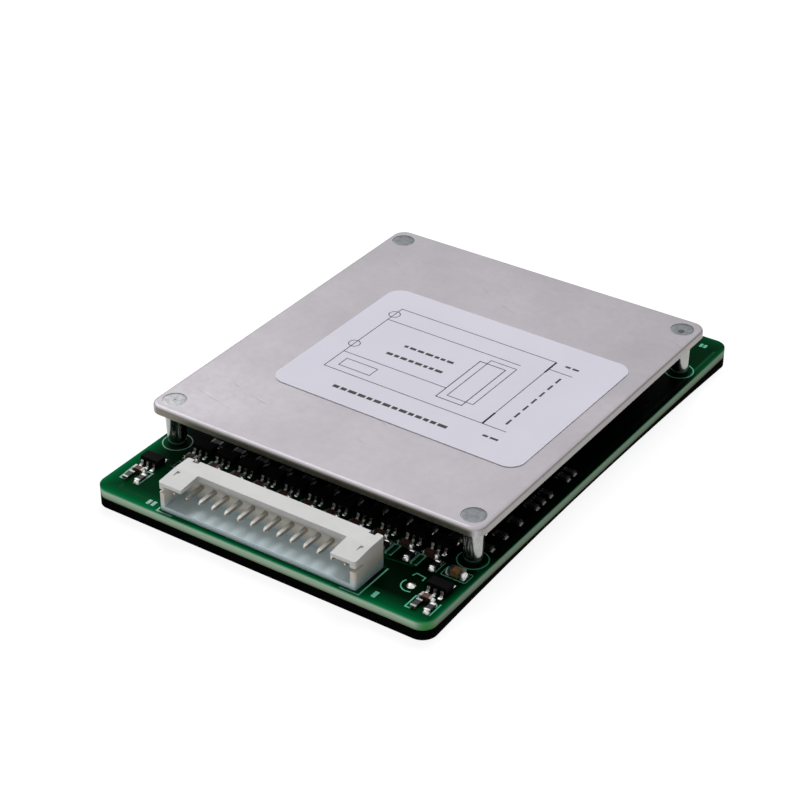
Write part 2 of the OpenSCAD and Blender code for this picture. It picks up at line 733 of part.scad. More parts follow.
// Places transistor i, the first half in front and the rest behind, tabs to the middle
module mos_place(i) {
    in_front = i <= mos_row;
    x = ((i - 1) % mos_row - (mos_row - 1) / 2) * mos_pitch;
    translate([x, mos_y, board_top]) rotate([0, 0, in_front ? 0 : 180])
        translate([0, -mos_row_gap / 2 - mos_depth, 0]) children();
}
// The metal tab under one body, from the height given up to its own thickness
module mos_tab(low) {
    translate([-mos_tab_w / 2, mos_tab_y, low])
        cube([mos_tab_w, mos_depth - mos_tab_y, mos_tab_t - low]);
}
module mosfet_body(i) {
    color(colour_black) mos_place(i) difference() {
        translate([0, mos_d / 2, 0]) moulded(mos_w, mos_d, mos_h, 0);
        mos_tab(-eps);
    }
}
module mosfet_frame(i) {
    color(colour_tin) mos_place(i) {
        mos_tab(0);
        gull_row([-mos_lead_pitch, mos_lead_pitch], -1, 0, mos_reach, mos_lead_w,
            mos_lead_t, mos_foot, mos_h * 0.45 - mos_lead_t / 2);
    }
}

insulating_pad();
circuit_board();
heatsink_plate();
heatsink_rivets();
label();
thermal_pad();
header_housing();
header_pins();
balance_chip_bodies();
balance_chip_leads();
balance_fet_bodies();
balance_fet_leads();
bleed_resistor_bodies();
bleed_resistor_ends();
filter_capacitor_bodies();
filter_capacitor_ends();
cell_resistor_bodies();
cell_resistor_ends();
gate_resistor_bodies();
gate_resistor_ends();
side_resistor_bodies();
side_resistor_ends();
supply_capacitor_body();
supply_capacitor_ends();
protection_chip_bodies();
protection_chip_leads();
shunt_bodies();
shunt_ends();
lead_pads();
for (i = [1:mos_count]) {
    mosfet_body(i);
    mosfet_frame(i);
}
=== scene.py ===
"""The looks of the battery management board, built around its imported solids.

Places on the board are in millimetres from its front left corner, measured along its
width (x), along its depth (y) and up from its face (z). `spot` turns them into metres
in the shared frame.
"""
import math
import random

import bmesh
import bpy
from mathutils import Matrix, Vector


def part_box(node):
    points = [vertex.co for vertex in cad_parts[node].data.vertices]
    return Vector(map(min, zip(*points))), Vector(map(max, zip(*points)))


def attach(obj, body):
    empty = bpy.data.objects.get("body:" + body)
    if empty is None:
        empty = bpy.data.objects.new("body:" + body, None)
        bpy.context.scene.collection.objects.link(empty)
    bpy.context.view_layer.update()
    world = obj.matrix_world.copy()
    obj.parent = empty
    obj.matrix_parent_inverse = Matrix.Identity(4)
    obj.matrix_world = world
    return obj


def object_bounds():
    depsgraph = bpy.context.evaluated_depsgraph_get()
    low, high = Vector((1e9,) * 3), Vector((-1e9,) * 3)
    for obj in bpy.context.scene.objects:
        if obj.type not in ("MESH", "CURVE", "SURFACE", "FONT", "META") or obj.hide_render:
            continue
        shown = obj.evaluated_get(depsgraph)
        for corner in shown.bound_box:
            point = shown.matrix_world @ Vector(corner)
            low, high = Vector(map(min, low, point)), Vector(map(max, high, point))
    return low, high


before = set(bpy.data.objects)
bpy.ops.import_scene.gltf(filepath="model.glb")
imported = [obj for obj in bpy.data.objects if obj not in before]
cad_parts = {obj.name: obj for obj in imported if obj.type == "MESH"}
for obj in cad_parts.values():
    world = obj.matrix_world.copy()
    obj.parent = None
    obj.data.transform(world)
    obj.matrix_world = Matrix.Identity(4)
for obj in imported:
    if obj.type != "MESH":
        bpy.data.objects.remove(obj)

cad_box = [list(corner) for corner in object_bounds()]
MM = 0.001
board_low, board_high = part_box("circuit_board")
board_w = (board_high.x - board_low.x) / MM
board_d = (board_high.y - board_low.y) / MM
board_under = -(board_high.z - board_low.z) / MM
middle_of_board = (board_low + board_high) / 2
plate_low, plate_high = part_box("heatsink_plate")
rng = random.Random(14)       # for the lengths of the bars that the label's lines are made of


def spot(x, y, z=0.0):
    """A place on the board's face, in metres in the shared frame."""
    return Vector((board_low.x + x * MM, board_low.y + y * MM, board_high.z + z * MM))


def board_xyz(point):
    """A point of the shared frame as millimetres from the board's front left corner."""
    return Vector((
        (point[0] - board_low.x) / MM, (point[1] - board_low.y) / MM,
        (point[2] - board_high.z) / MM,
    ))


# ---------------------------------------------------------------- nodes

class Tree:
    """A node tree, and short ways to add to it."""

    def __init__(self, tree):
        self.tree = tree

    def put(self, socket, value):
        """Give a socket another node's output, or a value of its own."""
        if isinstance(value, bpy.types.NodeSocket):
            self.tree.links.new(value, socket)
        else:
            socket.default_value = value

    def node(self, kind, inputs=(), **settings):
        """A new node; inputs pairs a socket with a value or with another node's output."""
        made = self.tree.nodes.new("ShaderNode" + kind)
        for key, value in settings.items():
            setattr(made, key, value)
        for socket, value in dict(inputs).items():
            self.put(made.inputs[socket], value)
        return made

    def maths(self, operation, a, b=0.0):
        """The result of a Math node on two values."""
        return self.node("Math", {0: a, 1: b}, operation=operation).outputs[0]

    def split(self, vector):
        """The X, Y and Z of a vector."""
        return self.node("SeparateXYZ", {"Vector": vector}).outputs

    def fade(self, value, start, end, low, high, **settings):
        """A number that goes from low to high as a value goes from start to end."""
        return self.node("MapRange", {
            "Value": value, "From Min": start, "From Max": end, "To Min": low, "To Max": high,
        }, **settings).outputs["Result"]


class Look(Tree):
    """A material with one Principled shader. Its patterns read object coordinates."""

    def __init__(self, name, colour, roughness, metallic=0.0, **sockets):
        self.material = bpy.data.materials.new(name)
        self.material.use_nodes = True
        super().__init__(self.material.node_tree)
        self.shader = self.tree.nodes["Principled BSDF"]
        self.shader.inputs["Base Color"].default_value = (*colour, 1)
        self.shader.inputs["Roughness"].default_value = roughness
        self.shader.inputs["Metallic"].default_value = metallic
        for socket, value in sockets.items():
            self.shader.inputs[socket.replace("_", " ")].default_value = value
        self.place = self.node("TexCoord").outputs["Object"]

    def stretched(self, x, y, z):
        """Object coordinates multiplied along each axis."""
        return self.node("Mapping", {"Vector": self.place, "Scale": (x, y, z)}).outputs[0]

    def noise(self, size_mm, detail=3.0, where=None, roughness=0.55):
        """Noise from 0 to 1 whose features are about size_mm across."""
        return self.node("TexNoise", {
            "Vector": where or self.place, "Scale": 1 / (size_mm * MM),
            "Detail": detail, "Roughness": roughness,
        }).outputs["Fac"]

    def waves(self, size_mm, direction, distortion, where=None, detail_scale=1.0):
        """Bands across a direction, from 0 to 1."""
        return self.node("TexWave", {
            "Vector": where or self.place, "Scale": 1 / (size_mm * MM),
            "Distortion": distortion, "Detail": 2.0, "Detail Scale": detail_scale,
        }, bands_direction=direction).outputs["Fac"]

    def specks(self, size_mm, *stops):
        """Small spots, one to a cell of size_mm, as a ramp outwards from their middles."""
        cells = self.node("TexVoronoi", {"Vector": self.place, "Scale": 1 / (size_mm * MM)})
        return self.ramp(cells.outputs["Distance"], *stops)

    def facing(self):
        """The X, Y and Z of the direction that the surface faces."""
        return self.split(self.node("NewGeometry").outputs["True Normal"])

    def share(self, length, whole_mm):
        """A length as a share of so many millimetres."""
        return self.maths("MULTIPLY", length, 1 / (whole_mm * MM))

    def ramp(self, value, *stops):
        """A colour ramp over (position, colour or grey) stops."""
        made = self.node("ValToRGB", {"Fac": value})
        elements = made.color_ramp.elements
        while len(elements) < len(stops):
            elements.new(0.5)
        for element, (position, shade) in zip(elements, stops):
            element.position = position
            tone = (shade,) * 3 if isinstance(shade, float) else shade
            element.color = (*tone, 1)
        return made.outputs["Color"]

    def mix(self, fac, a, b):
        """Colour a where fac is 0, and colour b where it is 1."""
        made = self.node("Mix", {"Factor": fac}, data_type="RGBA")
        for socket, value in ((made.inputs[6], a), (made.inputs[7], b)):
            self.put(socket, (*value, 1) if isinstance(value, tuple) else value)
        return made.outputs[2]

    def bump(self, height, depth_mm, strength):
        """Relief, added to what the shader has already."""
        made = self.node("Bump", {
            "Height": height, "Distance": depth_mm * MM, "Strength": strength,
        })
        if self.shader.inputs["Normal"].links:
            first = self.shader.inputs["Normal"].links[0].from_socket
            self.tree.links.new(first, made.inputs["Normal"])
        self.feed("Normal", made.outputs["Normal"])

    def feed(self, socket, value):
        """Drive one of the shader's sockets with another node's output."""
        self.tree.links.new(value, self.shader.inputs[socket])


def scaled(colour, factor):
    """A colour made lighter or darker by a factor."""
    return tuple(part * factor for part in colour)


# ---------------------------------------------------------------- materials

# Painted shade: the mask's colour where the plate and the board's right side leave it dark
PAINTED_SHADE_GREEN = (0.0, 0.002, 0.0005)      # the mask where it looks black
MASK_ROUGHNESS, LAMINATE_ROUGHNESS = 0.34, 0.62


def under_plate(look):
    """How far in under the plate a place lies: 0 near its front and back edges, then up to 0.9.
    It sets where the mask is painted dark as the plate's shade."""
    ahead = look.split(look.place)["Y"]
    past_front = look.maths("SUBTRACT", ahead, plate_low.y)
    past_back = look.maths("SUBTRACT", plate_high.y, ahead)
    depth = look.share(look.maths("MINIMUM", past_front, past_back), 10)
    return look.ramp(depth, (0.1, 0.0), (0.45, 0.9))


def mask_colour(look):
    """Dark green with flecks of dust, painted near black to the right and under the plate as
    their shade, and lighter along the rim, partly where no copper lies under it and partly as
    painted light."""
    green = look.ramp(
        look.noise(9, 2.0), (0.3, (0.0, 0.021, 0.0055)), (0.7, (0.0, 0.03, 0.008)))
    where = look.split(look.place)
    # Painted shade: near black towards the right side, most at the front
    right_side_shade = look.fade(where["X"], middle_of_board.x, board_high.x - 9 * MM, 0.0, 0.85)
    forward = look.fade(where["Y"], plate_low.y, plate_high.y, 1.0, 0.4)
    green = look.mix(look.maths("MULTIPLY", right_side_shade, forward), green, PAINTED_SHADE_GREEN)

    # Lighter rim: partly the mask over no copper, partly painted light; narrower on the right
    # and weaker towards the back
    from_left = look.maths("SUBTRACT", where["X"], board_low.x)
    from_right = look.maths("SUBTRACT", board_high.x, where["X"])
    narrowed = look.maths("MULTIPLY", from_right, 2.5)
    off_middle = look.maths("ABSOLUTE", look.maths("SUBTRACT", where["Y"], middle_of_board.y))
    from_end = look.maths("SUBTRACT", board_high.y - middle_of_board.y, off_middle)
    from_side = look.maths("MINIMUM", from_left, narrowed)
    inward = look.share(look.maths("MINIMUM", from_side, from_end), 5)
    bare_rim_and_painted_light = look.ramp(inward, (0.02, 1.0), (0.12, 0.5), (0.3, 0.25), (0.6, 0.0))
    green = look.mix(look.maths("MULTIPLY", bare_rim_and_painted_light, forward), green, (0.0, 0.15, 0.045))
    # Painted shade under the plate
    green = look.mix(under_plate(look), green, PAINTED_SHADE_GREEN)
    dust = look.specks(1.9, (0.02, 0.5), (0.045, 0.0))
    return look.mix(dust, green, (0.3, 0.36, 0.33))


def laminate_colour(look, facing):
    """Pale glass epoxy: greener at the top, browner at the foot, painted darker on the two long
    sides as their shade, and painted green at two of its corners, where the light goes through."""
    plies = look.waves(2.2, "Z", 1.5)
    laminate = look.ramp(plies, (0.0, (0.4, 0.58, 0.43)), (1.0, (0.52, 0.72, 0.55)))
    speck = look.ramp(look.noise(0.25, 4.0, look.stretched(1, 1, 3)), (0.5, 0.0), (0.8, 0.55))
    laminate = look.mix(speck, laminate, (0.64, 0.78, 0.6))
    height = look.split(look.place)["Z"]
    drop = look.share(look.maths("SUBTRACT", board_high.z, height), 2)
    top = look.ramp(drop, (0.03, 1.0), (0.07, 0.6), (0.2, 0.0))
    laminate = look.mix(top, laminate, (0.02, 0.26, 0.11))
    foot = look.ramp(drop, (0.36, 0.0), (0.6, 0.75))
    laminate = look.mix(foot, laminate, (0.12, 0.16, 0.06))
    # Painted shade: darker on the two long sides
    side_shade = look.ramp(look.maths("ABSOLUTE", facing["X"]), (0.15, 0.0), (0.95, 0.5))
    laminate = look.mix(side_shade, laminate, (0.05, 0.07, 0.05))
    # Painted light: green at two corners, where light goes through
    aslant = look.maths("MULTIPLY", look.maths("MULTIPLY", facing["X"], facing["Y"]), -1.0)
    corner = look.ramp(aslant, (0.05, 0.0), (0.5, 0.8))
    return look.mix(corner, laminate, (0.02, 0.3, 0.05))


def bare_board():
    """Solder mask on the board's faces, and cut laminate on its edges."""
    look = Look("solder_mask", (0.0, 0.15, 0.04), MASK_ROUGHNESS, Specular_IOR_Level=0.007)
    facing = look.facing()
    face = look.maths("GREATER_THAN", look.maths("ABSOLUTE", facing["Z"]), 0.5)
    look.feed("Base Color", look.mix(face, laminate_colour(look, facing), mask_colour(look)))
    look.feed("Roughness", look.ramp(face, (0.0, LAMINATE_ROUGHNESS), (1.0, MASK_ROUGHNESS)))
    look.bump(look.noise(0.5, 4.0), 0.004, 0.5)
    return look.material


def masked_copper():
    """Mask where it runs over a raised copper track: a little lighter and sharper."""
    look = Look("masked_copper", (0.0, 0.2, 0.06), 0.3, Specular_IOR_Level=0.02)
    green = look.ramp(look.noise(4), (0.3, (0.0, 0.045, 0.014)), (0.7, (0.0, 0.06, 0.019)))
    # Painted shade: near black under the plate
    look.feed("Base Color", look.mix(under_plate(look), green, scaled(PAINTED_SHADE_GREEN, 2)))
    look.bump(look.noise(0.5, 4.0), 0.004, 0.5)
    return look.material


def screen_ink():
    """White printed outlines, so lightly printed that the mask shows through in places, and
    painted greener towards the right, as shade."""
    look = Look("screen_ink", (0.55, 0.66, 0.6), 0.5, Specular_IOR_Level=0.3)
    ink = look.ramp(
        look.noise(0.25, 4.0), (0.32, (0.1, 0.32, 0.25)), (0.68, (0.44, 0.58, 0.53)))
    across = look.split(look.place)["X"]
    # Painted shade: greener towards the right
    ink_shade_right = look.fade(across, middle_of_board.x, board_high.x, 0.0, 0.85)
    look.feed("Base Color", look.mix(ink_shade_right, ink, (0.02, 0.4, 0.22)))
    return look.material


def foam():
    """The insulating pad's black closed-cell foam."""
    look = Look("black_foam", (0.001, 0.001, 0.0011), 0.95, Specular_IOR_Level=0.01)
    grain = look.noise(0.35, 5.0)
    look.feed("Base Color", look.ramp(grain, (0.3, 0.0007), (0.75, 0.002)))
    look.bump(grain, 0.05, 0.7)
    return look.material


def sheet_metal(name, light, dark, roughness):
    """Rolled aluminium: slow smudges, a fine grain along Y, stray scratches and pits, and
    painted shade and dark reflections on the flanks and on the front face towards the header."""
    look = Look(name, light, roughness, metallic=1.0)
    smudge = look.noise(14, 5.0, roughness=0.6)
    grain = look.noise(0.5, 4.0, look.stretched(1, 0.08, 1))
    mottled = look.noise(1.2, 6.0, roughness=0.7)
    mid = tuple((a + b) / 2 for a, b in zip(light, dark))
    colour = look.ramp(smudge, (0.25, dark), (0.5, mid), (0.75, light))
    colour = look.mix(look.ramp(mottled, (0.35, 0.0), (0.8, 0.4)), colour, dark)

    worn = scaled(dark, 0.55)
    pit = look.specks(5.5, (0.012, 1.0), (0.03, 0.0))
    colour = look.mix(look.maths("MULTIPLY", pit, 0.75), colour, worn)
    lines = look.waves(9, "DIAGONAL", 5.0, look.stretched(0.35, 1.0, 1.0), 0.7)
    gate = look.ramp(look.noise(6, 1.0), (0.6, 0.0), (0.68, 1.0))
    scratch = look.maths("MULTIPLY", look.ramp(lines, (0.985, 0.0), (0.998, 1.0)), gate)
    colour = look.mix(look.maths("MULTIPLY", scratch, 0.15), colour, worn)

    facing = look.facing()
    # Painted shade and dark reflection on the flanks
    flank_shade = look.ramp(look.maths("ABSOLUTE", facing["X"]), (0.5, 0.0), (0.85, 1.0))
    colour = look.mix(flank_shade, colour, (0.29, 0.275, 0.27))
    # Painted shade and dark reflection on the front face, towards the header
    front_face_shade = look.ramp(look.maths("MULTIPLY", facing["Y"], -1.0), (0.8, 0.0), (0.97, 1.0))
    look.feed("Base Color", look.mix(front_face_shade, colour, (0.2, 0.19, 0.155)))
    look.feed("Roughness", look.ramp(
        mottled, (0.3, roughness - 0.06), (0.8, roughness + 0.12)))
    look.bump(grain, 0.004, 0.6)
    look.bump(look.maths("MAXIMUM", scratch, pit), -0.01, 0.8)
    return look.material


def turned_metal(name, colour):
    """The rivets' cold-formed faces, mottled."""
    look = Look(name, colour, 0.5, metallic=1.0)
    look.feed("Base Color", look.ramp(
        look.noise(0.5, 5.0), (0.35, scaled(colour, 0.8)), (0.7, scaled(colour, 1.2))))
    look.bump(look.noise(0.25, 4.0), 0.01, 0.5)
    return look.material


def shank_metal():
    """The rivets' smooth shanks, drawn out upwards."""
    look = Look("shank_metal", (0.42, 0.43, 0.42), 0.18, metallic=1.0)
    drawn = look.noise(0.7, 4.0, look.stretched(1, 1, 0.4))
    look.feed("Base Color", look.ramp(
        drawn, (0.3, (0.3, 0.31, 0.3)), (0.75, (0.4, 0.41, 0.4))))
    look.bump(drawn, 0.002, 0.2)
    return look.material


def tin_plate():
    """Tin plate on the small parts' ends, brighter and smoother in patches."""
    look = Look("tin_plate", (0.5, 0.5, 0.48), 0.34, metallic=1.0)
    patch = look.noise(0.4, 4.0)
    look.feed("Base Color", look.ramp(
        patch, (0.3, (0.36, 0.36, 0.345)), (0.75, (0.55, 0.55, 0.535))))
    look.feed("Roughness", look.ramp(patch, (0.3, 0.24), (0.8, 0.42)))
    look.bump(look.noise(0.12, 3.0), 0.004, 0.4)
    return look.material


def tinned(name, colour, roughness, patch_mm, dark, light, detail=3.0,
           grain_mm=0.12, depth_mm=0.004, strength=0.4):
    """Tin or solder whose tone wavers from dark to light in patches, over a fine grain."""
    look = Look(name, colour, roughness, metallic=1.0)
    look.feed("Base Color", look.ramp(look.noise(patch_mm, detail), (0.3, dark), (0.75, light)))
    look.bump(look.noise(grain_mm, 3.0), depth_mm, strength)
    return look.material


def label_paper():
    """Coated label paper with a faint fibre, slightly uneven, and painted whiter on its cut
    edges, as light on them.
    """
    look = Look("label_paper", (0.67, 0.66, 0.75), 0.5, Specular_IOR_Level=0.3)
    paper = look.ramp(
        look.noise(11, 4.0), (0.3, (0.68, 0.67, 0.76)), (0.75, (0.715, 0.705, 0.795)))
    # Painted light: the cut edges whiter, to lighten the shade along them
    cut = look.ramp(look.maths("ABSOLUTE", look.facing()["Z"]), (0.6, 1.0), (0.95, 0.0))
    look.feed("Base Color", look.mix(cut, paper, (0.98, 0.98, 0.99)))
    look.bump(look.noise(0.3, 5.0), 0.004, 0.35)
    return look.material


def label_ink():
    """The label's black print, a little uneven."""
    look = Look("label_ink", (0.03, 0.03, 0.04), 0.55, Specular_IOR_Level=0.25)
    look.feed("Base Color", look.ramp(look.noise(0.2, 3.0), (0.3, 0.03), (0.8, 0.09)))
    return look.material


def nylon():
    """Moulded nylon: milky, with a little light passing in; painted warmer down its walls as
    warm shade, and painted cooler and lighter low down and on its floor, as light and a pale
    blue reflection."""
    look = Look("natural_nylon", (0.7, 0.7, 0.69), 0.42, Specular_IOR_Level=0.3)
    colour = look.ramp(
        look.noise(3, 3.0), (0.3, (0.67, 0.67, 0.655)), (0.75, (0.73, 0.73, 0.725)))
    height = look.split(look.place)["Z"]
    base = board_high.z
    # Painted light and reflection: a pale blue, lighter tint low down and on the floor
    low = look.fade(height, base + 0.7 * MM, base + 1.6 * MM, 0.8, 0.0)
    # Painted shade: a warm tint down the walls, under the roof
    inside = look.fade(height, base + 3.0 * MM, base + 3.9 * MM, 0.7, 0.0)
    colour = look.mix(inside, colour, (0.75, 0.7, 0.6))
    look.feed("Base Color", look.mix(low, colour, (0.7, 0.89, 0.97)))
    look.shader.inputs["Subsurface Weight"].default_value = 0.15
    look.shader.inputs["Subsurface Radius"].default_value = (1.0, 0.92, 0.8)
    look.shader.inputs["Subsurface Scale"].default_value = 0.8 * MM
    look.bump(look.noise(0.6, 5.0), 0.01, 0.4)
    return look.material


def epoxy():
    """Black moulding compound with its fine grain."""
    look = Look("moulding_compound", (0.006, 0.006, 0.007), 0.5, Specular_IOR_Level=0.02)
    grain = look.noise(0.08, 4.0)
    look.feed("Base Color", look.ramp(grain, (0.3, 0.003), (0.8, 0.009)))
    look.bump(grain, 0.006, 0.6)
    return look.material


def fired(name, colour, roughness=0.38):
    """A fired ceramic body or a glazed film resistor."""
    look = Look(name, colour, roughness, Specular_IOR_Level=0.4)
    look.feed("Base Color", look.ramp(
        look.noise(0.5, 4.0), (0.3, scaled(colour, 0.75)), (0.75, scaled(colour, 1.25))))
    look.bump(look.noise(0.1, 3.0), 0.004, 0.4)
    return look.material


def silicone():
    """The thermal pad's soft grey-blue rubber."""
    look = Look("thermal_silicone", (0.26, 0.34, 0.42), 0.7)
    look.feed("Base Color", look.ramp(
        look.noise(0.6, 5.0), (0.3, (0.22, 0.3, 0.37)), (0.8, (0.31, 0.39, 0.47))))
    look.bump(look.noise(0.5, 4.0), 0.02, 0.5)
    return look.material


LOOKS = {
    "mask": bare_board(), "copper": masked_copper(), "foam": foam(),
    "plate": sheet_metal("plate_metal", (0.57, 0.535, 0.575), (0.44, 0.42, 0.45), 0.34),
    "rivet": turned_metal("rivet_metal", (0.27, 0.285, 0.3)),
    "worn_rivet": turned_metal("worn_rivet_metal", (0.52, 0.525, 0.535)),
    # A dark copy of the rivet metal: painted shade for the dimple and the centre mark
    "dimple": turned_metal("painted_dimple_shade", (0.13, 0.13, 0.14)),
    "shank": shank_metal(), "paper": label_paper(), "ink": label_ink(),
    "nylon": nylon(), "tin": tin_plate(),
    "lead": tinned("lead_tin", (0.55, 0.55, 0.53), 0.24, 0.3,
                   (0.42, 0.42, 0.41), (0.62, 0.62, 0.6)),
    # Painted shade: a darker copy of the tin, for ends and joints that lie in shade
    "tin_in_shade": tinned("shaded_tin", (0.2, 0.2, 0.19), 0.4, 0.3,
                   (0.13, 0.13, 0.125), (0.26, 0.26, 0.25)),
    "pin": tinned("pin_tin", (0.5, 0.47, 0.43), 0.45, 0.6,
                  (0.42, 0.39, 0.355), (0.56, 0.53, 0.49), grain_mm=0.15),
    "solder": tinned("solder", (0.8, 0.8, 0.79), 0.26, 0.3,
                     (0.7, 0.7, 0.69), (0.86, 0.86, 0.85), grain_mm=0.25, depth_mm=0.008),
    "epoxy": epoxy(),
    "plated": tinned("plated_tin", (0.75, 0.75, 0.74), 0.5, 0.9,
                     (0.66, 0.66, 0.65), (0.8, 0.8, 0.79), detail=4.0,
                     grain_mm=0.4, depth_mm=0.006, strength=0.3),
    "resistor": fired("resistor_glaze", (0.014, 0.014, 0.017), 0.3),
    "capacitor": fired("capacitor_body", (0.09, 0.035, 0.022)),
    "tan": fired("supply_body", (0.34, 0.18, 0.06)),
    "silicone": silicone(), "screen": screen_ink(),
}

NODE_LOOKS = {
    "circuit_board": "mask", "insulating_pad": "foam", "heatsink_plate": "plate",
    "heatsink_rivets": "shank", "label": "paper", "thermal_pad": "silicone",
    "header_housing": "nylon", "header_pins": "pin", "lead_pads": "plated",
    "filter_capacitor_bodies": "capacitor", "supply_capacitor_body": "tan",
    "bleed_resistor_bodies": "resistor", "cell_resistor_bodies": "resistor",
    "gate_resistor_bodies": "resistor", "side_resistor_bodies": "resistor",
    "shunt_bodies": "resistor",
}
SOFT_EDGES = {"header_housing": 0.14, "label": 0.06, "insulating_pad": 0.15}     # mm
SHARP_EDGE = 40               # degrees, from which an edge is broken
ISLAND_GAP, WELD_GAP = 0.0005, 0.001     # mm within which two vertices are one


def look_of(node):
    """The name of a carried-over node's look: leads and ends are tin, the rest epoxy."""
    if node in NODE_LOOKS:
        return NODE_LOOKS[node]
    if node.endswith("_leads"):
        return "lead"
    # Two resistors' ends take the darker tin, a painted shade
    if node in ("side_resistor_ends", "gate_resistor_ends"):
        return "tin_in_shade"
    metal = node.endswith("_ends") or node.startswith("mosfet_frame")
    return "tin" if metal else "epoxy"


def dress_nodes():
    """Give every carried-over node its look, and break the soft ones' moulded edges."""
    for node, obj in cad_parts.items():
        for holder in obj.material_slots:
            holder.material = LOOKS[look_of(node)]
    for node, width in SOFT_EDGES.items():
        soften(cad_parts[node], width)


def soften(obj, width):
    """Break an object's sharp edges by a width in millimetres."""
    weld = obj.modifiers.new("weld", "WELD")
    weld.merge_threshold = WELD_GAP * MM
    bevel = obj.modifiers.new("soft_edges", "BEVEL")
    bevel.width = width * MM
    bevel.segments = 2
    bevel.limit_method = "ANGLE"
    bevel.angle_limit = math.radians(SHARP_EDGE)


# ---------------------------------------------------------------- shapes

LEAST_MITRE = 0.4         # how sharp a corner of a ribbon can be before it is cut short
CORNER_PULL = 0.22        # how far a pillow's corners are drawn in
SHOULDER = 0.6            # and how full its sides are: less is fuller


class Piece:
    """A mesh that is filled in board millimetres and handed over as one piece."""

    def __init__(self, name, looks, slot):
        self.name, self.looks, self.slot = name, looks, slot
        self.mesh = bmesh.new()
        self.look = 0

    def vertex(self, x, y, z):
        """A new vertex at a place on the board."""
        return self.mesh.verts.new(spot(x, y, z))

    def face(self, around, smooth=True):
        """A new face between vertices, in the piece's present look."""
        made = self.mesh.faces.new(around)
        made.smooth = smooth
        made.material_index = self.look

    def prism(self, outline, low, high):
        """A closed outline of (x, y) points, anticlockwise, between two heights."""
        bottom = [self.vertex(x, y, low) for x, y in outline]
        top = [self.vertex(x, y, high) for x, y in outline]
        self.face(top, False)
        self.face(bottom[::-1], False)
        for i in range(len(outline)):
            j = (i + 1) % len(outline)
            self.face([bottom[i], bottom[j], top[j], top[i]], False)

    def ribbon(self, points, width, low, high, closed=False):
        """A band of even width along a line of (x, y) points."""
        flat = [Vector(point) for point in points]
        count = len(flat)
        rings = []
        for i, point in enumerate(flat):
            before = flat[i - 1] if closed or i else point
            after = flat[(i + 1) % count] if closed or i < count - 1 else point
            first, second = point - before, after - point
            first = (first if first.length else second).normalized()
            second = (second if second.length else first).normalized()
            along = (first + second).normalized()
            across = Vector((-along.y, along.x))
            square = abs(across.dot(Vector((-first.y, first.x))))
            reach = width / 2 / max(LEAST_MITRE, square)
            left, right = point + across * reach, point - across * reach
            rings.append([self.vertex(*right, low), self.vertex(*right, high),
                          self.vertex(*left, high), self.vertex(*left, low)])
        for i in range(count if closed else count - 1):
            a, b = rings[i], rings[(i + 1) % count]
            for k in range(4):
                self.face([a[k], b[k], b[(k + 1) % 4], a[(k + 1) % 4]], False)
        if not closed:
            self.face(rings[0][::-1], False)
            self.face(rings[-1], False)

    def lathe(self, x, y, profile, steps=32, closed=False):
        """A profile of (radius, z) points, outside to centre, turned about an upright axis;
        a closed profile makes a ring."""
        rings = []
        for radius, z in profile:
            if radius == 0:
                rings.append([self.vertex(x, y, z)])
                continue
            turns = (2 * math.pi * i / steps for i in range(steps))
            rings.append([
                self.vertex(x + radius * math.cos(a), y + radius * math.sin(a), z)
                for a in turns])
        for a, b in zip(rings, rings[1:] + (rings[:1] if closed else [])):
            for i in range(steps):
                j = (i + 1) % steps
                if len(b) == 1:
                    self.face([a[i], a[j], b[0]])
                else:
                    self.face([a[i], a[j], b[j], b[i]])

    def pillow(self, x, y, half_x, half_y, height, base=0.0, steps=6, power=2.6):
        """A drop that stands on an oblong footprint with soft corners."""
        grid = []
        for i in range(steps + 1):
            line = []
            for j in range(steps + 1):
                u, v = 2 * i / steps - 1, 2 * j / steps - 1
                pull = math.sqrt(1 - CORNER_PULL * u * u * v * v)
                rise = ((1 - abs(u) ** power) * (1 - abs(v) ** power)) ** SHOULDER
                line.append(self.vertex(
                    x + half_x * u * pull, y + half_y * v * pull, base + height * rise))
            grid.append(line)
        for i in range(steps):
            for j in range(steps):
                self.face([
                    grid[i][j], grid[i + 1][j], grid[i + 1][j + 1], grid[i][j + 1]])

    def done(self):
        """Turn the mesh into an object that rides with the part."""
        data = bpy.data.meshes.new(self.name)
        bmesh.ops.recalc_face_normals(self.mesh, faces=self.mesh.faces)
        self.mesh.to_mesh(data)
        self.mesh.free()
        for look in self.looks:
            data.materials.append(LOOKS[look])
        made = bpy.data.objects.new(self.name, data)
        bpy.context.scene.collection.objects.link(made)
        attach(made, "root")


def islands(node):
    """The boxes, in board millimetres, of the separate solids in a node."""
    shape = bmesh.new()
    shape.from_mesh(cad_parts[node].data)
    bmesh.ops.remove_doubles(shape, verts=shape.verts, dist=ISLAND_GAP * MM)
    seen, boxes = set(), []
    for start in shape.verts:
        if start in seen:
            continue
        seen.add(start)
        heap, group = [start], []
        while heap:
            vert = heap.pop()
            group.append(board_xyz(vert.co))
            for edge in vert.link_edges:
                other = edge.other_vert(vert)
                if other not in seen:
                    seen.add(other)
                    heap.append(other)
        boxes.append(tuple(
            Vector([pick(point[axis] for point in group) for axis in range(3)])
            for pick in (min, max)))
    shape.free()
    return boxes


def middle(box):
    """The middle of a box that is given by its two corners."""
    return (box[0] + box[1]) / 2


def middles(node):
    """The middles of the separate solids in a node."""
    return [middle(box) for box in islands(node)]


def arc(x, y, radius, start, end, steps=24):
    """Points round part of a circle, in degrees."""
    turns = (math.radians(start + (end - start) * i / steps) for i in range(steps + 1))
    return [(x + radius * math.cos(a), y + radius * math.sin(a)) for a in turns]


def circle(x, y, radius, steps):
    """Points round a circle, without the first one again at the end."""
    return arc(x, y, radius, 0, 360, steps)[:-1]


def corners(x0, y0, x1, y1):
    """The corners of a rectangle, anticlockwise."""
    return [(x0, y0), (x1, y0), (x1, y1), (x0, y1)]


